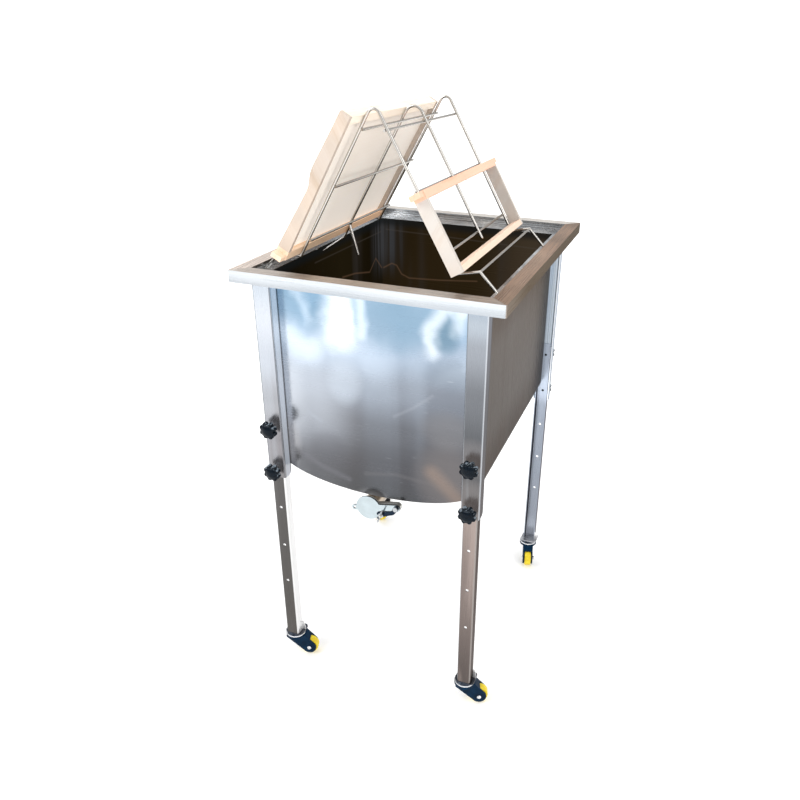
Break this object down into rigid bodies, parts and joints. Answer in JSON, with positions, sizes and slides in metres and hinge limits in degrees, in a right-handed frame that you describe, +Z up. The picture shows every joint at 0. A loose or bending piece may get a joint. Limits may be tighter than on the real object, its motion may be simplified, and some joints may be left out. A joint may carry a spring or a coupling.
{
  "type": "uncapping tank",
  "caption": "Stainless steel uncapping tank with a curved bottom and a honey gate, on telescopic caster legs, with a wire stand that holds hive frames over its open mouth.",
  "frame": {"origin": "on the floor, below the middle of the rim", "axes": "+Z up, +X to the right seen from the front, -Y the front, where the honey gate is"},
  "size_m": [0.5626, 0.7138, 1.2938],
  "materials": {
    "rim_steel": "brushed stainless steel",
    "side_steel": "brushed stainless steel, warm reflections",
    "panel_steel": "polished stainless steel",
    "leg_steel": "brushed stainless steel",
    "nut_steel": "plain steel",
    "gate_steel": "polished stainless steel",
    "seal_rubber": "black",
    "caster_plate_metal": "dark, satin",
    "fork_plastic": "navy, moulded",
    "axle_steel": "zinc plated",
    "wheel_tread": "yellow, satin",
    "knob_plastic": "black, glossy",
    "wire_steel": "bright stainless wire",
    "frame_wood": "planed pale pine",
    "foundation": "pale wax-coloured sheet"
  },
  "bodies": {
    "tank": {"rim": "rim_steel", "rebate_ledge": "rim_steel", "trough_shell": "side_steel", "front_panel": "panel_steel", "back_panel": "panel_steel", "sleeve_front_left": "leg_steel", "sleeve_front_right": "leg_steel", "sleeve_back_left": "leg_steel", "sleeve_back_right": "leg_steel", "weld_nuts": "nut_steel", "drain_pipe": "gate_steel", "valve_body": "gate_steel", "valve_seal": "seal_rubber", "pivot_screw": "gate_steel", "clamp_clip": "gate_steel"},
    "gate": {"gate_plate": "gate_steel"},
    "wing_nut": {"wing_nut": "gate_steel"},
    "stand": {"hairpin_front": "wire_steel", "hairpin_middle": "wire_steel", "hairpin_back": "wire_steel", "cross_rods": "wire_steel", "shelf_rods": "wire_steel"},
    "large_frame": {"large_frame_lug_bar": "frame_wood", "large_frame_plain_bar": "frame_wood", "large_frame_side_bars": "frame_wood", "foundation_sheet": "foundation"},
    "small_frame": {"small_frame_lug_bar": "frame_wood", "small_frame_plain_bar": "frame_wood", "small_frame_side_bars": "frame_wood"},
    "leg_front_left": {"leg_front_left": "leg_steel", "caster_plate_front_left": "caster_plate_metal"},
    "fork_front_left": {"fork_front_left": "fork_plastic", "axle_front_left": "axle_steel"},
    "wheel_front_left": {"wheel_front_left": "wheel_tread"},
    "knob_front_left_upper": {"knob_front_left_upper": "knob_plastic"},
    "knob_front_left_lower": {"knob_front_left_lower": "knob_plastic"},
    "leg_front_right": {"leg_front_right": "leg_steel", "caster_plate_front_right": "caster_plate_metal"},
    "fork_front_right": {"fork_front_right": "fork_plastic", "axle_front_right": "axle_steel"},
    "wheel_front_right": {"wheel_front_right": "wheel_tread"},
    "knob_front_right_upper": {"knob_front_right_upper": "knob_plastic"},
    "knob_front_right_lower": {"knob_front_right_lower": "knob_plastic"},
    "leg_back_left": {"leg_back_left": "leg_steel", "caster_plate_back_left": "caster_plate_metal"},
    "fork_back_left": {"fork_back_left": "fork_plastic", "axle_back_left": "axle_steel"},
    "wheel_back_left": {"wheel_back_left": "wheel_tread"},
    "knob_back_left_upper": {"knob_back_left_upper": "knob_plastic"},
    "knob_back_left_lower": {"knob_back_left_lower": "knob_plastic"},
    "leg_back_right": {"leg_back_right": "leg_steel", "caster_plate_back_right": "caster_plate_metal"},
    "fork_back_right": {"fork_back_right": "fork_plastic", "axle_back_right": "axle_steel"},
    "wheel_back_right": {"wheel_back_right": "wheel_tread"},
    "knob_back_right_upper": {"knob_back_right_upper": "knob_plastic"},
    "knob_back_right_lower": {"knob_back_right_lower": "knob_plastic"}
  },
  "joints": [
    {"name": "leg_slide_front_left", "type": "slide", "parent": "tank", "child": "leg_front_left", "axis": [0, 0, 1], "range_m": [0, 0.208]},
    {"name": "swivel_front_left", "type": "hinge", "parent": "leg_front_left", "child": "fork_front_left", "pos_m": [-0.225, -0.309, 0.057], "axis": [0, 0, 1], "continuous": true},
    {"name": "wheel_spin_front_left", "type": "hinge", "parent": "fork_front_left", "child": "wheel_front_left", "pos_m": [-0.19232, -0.29963, 0.021], "axis": [-0.2756, 0.9613, 0], "continuous": true},
    {"name": "turn_knob_front_left_upper", "type": "hinge", "parent": "tank", "child": "knob_front_left_upper", "pos_m": [-0.223, -0.345, 0.652], "axis": [0, -1, 0], "range_deg": [0, 720]},
    {"name": "turn_knob_front_left_lower", "type": "hinge", "parent": "tank", "child": "knob_front_left_lower", "pos_m": [-0.223, -0.345, 0.548], "axis": [0, -1, 0], "range_deg": [0, 720]},
    {"name": "leg_slide_front_right", "type": "slide", "parent": "tank", "child": "leg_front_right", "axis": [0, 0, 1], "range_m": [0, 0.208]},
    {"name": "swivel_front_right", "type": "hinge", "parent": "leg_front_right", "child": "fork_front_right", "pos_m": [0.221, -0.309, 0.057], "axis": [0, 0, 1], "continuous": true},
    {"name": "wheel_spin_front_right", "type": "hinge", "parent": "fork_front_right", "child": "wheel_front_right", "pos_m": [0.25295, -0.29737, 0.021], "axis": [-0.342, 0.9397, 0], "continuous": true},
    {"name": "turn_knob_front_right_upper", "type": "hinge", "parent": "tank", "child": "knob_front_right_upper", "pos_m": [0.223, -0.345, 0.652], "axis": [0, -1, 0], "range_deg": [0, 720]},
    {"name": "turn_knob_front_right_lower", "type": "hinge", "parent": "tank", "child": "knob_front_right_lower", "pos_m": [0.223, -0.345, 0.548], "axis": [0, -1, 0], "range_deg": [0, 720]},
    {"name": "leg_slide_back_left", "type": "slide", "parent": "tank", "child": "leg_back_left", "axis": [0, 0, 1], "range_m": [0, 0.208]},
    {"name": "swivel_back_left", "type": "hinge", "parent": "leg_back_left", "child": "fork_back_left", "pos_m": [-0.2345, 0.272, 0.057], "axis": [0, 0, 1], "continuous": true},
    {"name": "wheel_spin_back_left", "type": "hinge", "parent": "fork_back_left", "child": "wheel_back_left", "pos_m": [-0.26055, 0.29385, 0.021], "axis": [-0.6428, -0.766, 0], "continuous": true},
    {"name": "turn_knob_back_left_upper", "type": "hinge", "parent": "tank", "child": "knob_back_left_upper", "pos_m": [-0.2325, 0.308, 0.652], "axis": [0, 1, 0], "range_deg": [0, 720]},
    {"name": "turn_knob_back_left_lower", "type": "hinge", "parent": "tank", "child": "knob_back_left_lower", "pos_m": [-0.2325, 0.308, 0.548], "axis": [0, 1, 0], "range_deg": [0, 720]},
    {"name": "leg_slide_back_right", "type": "slide", "parent": "tank", "child": "leg_back_right", "axis": [0, 0, 1], "range_m": [0, 0.208]},
    {"name": "swivel_back_right", "type": "hinge", "parent": "leg_back_right", "child": "fork_back_right", "pos_m": [0.2305, 0.272, 0.057], "axis": [0, 0, 1], "continuous": true},
    {"name": "wheel_spin_back_right", "type": "hinge", "parent": "fork_back_right", "child": "wheel_back_right", "pos_m": [0.2393, 0.23916, 0.021], "axis": [0.9659, 0.2588, 0], "continuous": true},
    {"name": "turn_knob_back_right_upper", "type": "hinge", "parent": "tank", "child": "knob_back_right_upper", "pos_m": [0.2325, 0.308, 0.652], "axis": [0, 1, 0], "range_deg": [0, 720]},
    {"name": "turn_knob_back_right_lower", "type": "hinge", "parent": "tank", "child": "knob_back_right_lower", "pos_m": [0.2325, 0.308, 0.548], "axis": [0, 1, 0], "range_deg": [0, 720]},
    {"name": "gate_swing", "type": "hinge", "parent": "tank", "child": "gate", "pos_m": [0.05679, -0.3207, 0.50459], "axis": [0, 1, 0], "range_deg": [0, 75]},
    {"name": "wing_nut_turn", "type": "hinge", "parent": "tank", "child": "wing_nut", "pos_m": [0.02412, -0.3277, 0.48398], "axis": [0, 1, 0], "range_deg": [0, 720]},
    {"name": "stand_lift", "type": "slide", "parent": "tank", "child": "stand", "axis": [0, 0, 1], "range_m": [0, 0.25]},
    {"name": "large_frame_lift", "type": "slide", "parent": "stand", "child": "large_frame", "axis": [-0.8712, 0, 0.4909], "range_m": [0, 0.2]},
    {"name": "small_frame_lift", "type": "slide", "parent": "stand", "child": "small_frame", "axis": [0.8712, 0, 0.4909], "range_m": [0, 0.2]}
  ]
}
